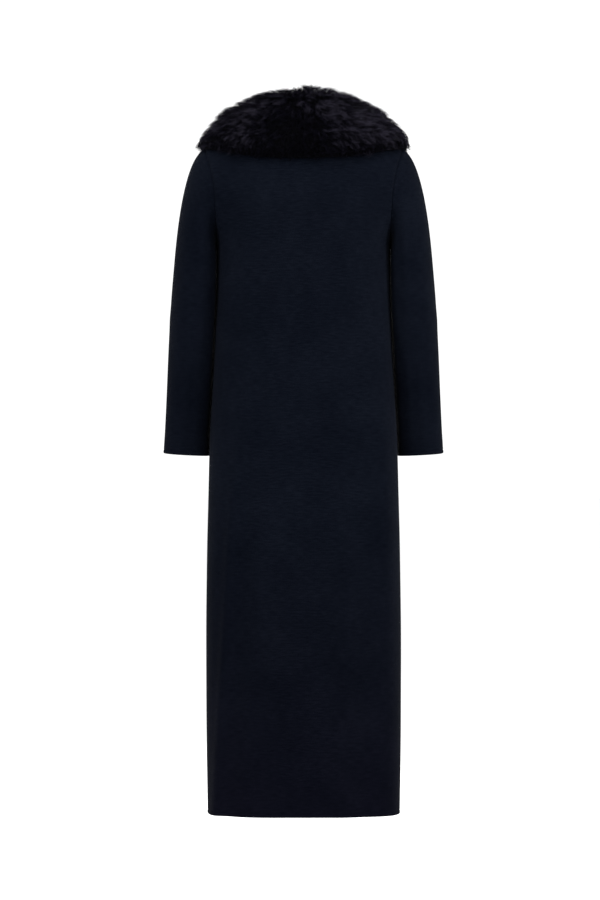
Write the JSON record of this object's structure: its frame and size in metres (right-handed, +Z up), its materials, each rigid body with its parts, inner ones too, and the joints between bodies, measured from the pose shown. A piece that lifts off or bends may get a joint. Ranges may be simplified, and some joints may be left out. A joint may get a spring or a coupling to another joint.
{
  "type": "long knitted coat with a plush fur collar",
  "caption": "Long straight knitted coat with a deep fur shawl collar, filled out and hollow as worn, with set-in sleeves and lapped edge-to-hem fronts.",
  "frame": {"origin": "on the middle plane, midway between the shoulders, level with the neck ends of the shoulder seams, where the wearer's neck and shoulders hold the coat up", "axes": "+Z up, the wearer faces -Y, +X to the wearer's left"},
  "size_m": [0.5502, 0.2563, 1.4014],
  "materials": {
    "knit": "matt dark navy fine double knit",
    "fur": "dense soft black pile with a faint bluish sheen"
  },
  "bodies": {
    "root": {"back": "knit", "front_left": "knit", "front_right": "knit", "sleeve_left": "knit", "sleeve_right": "knit", "collar_left": "fur", "collar_right": "fur"}
  },
  "joints": []
}
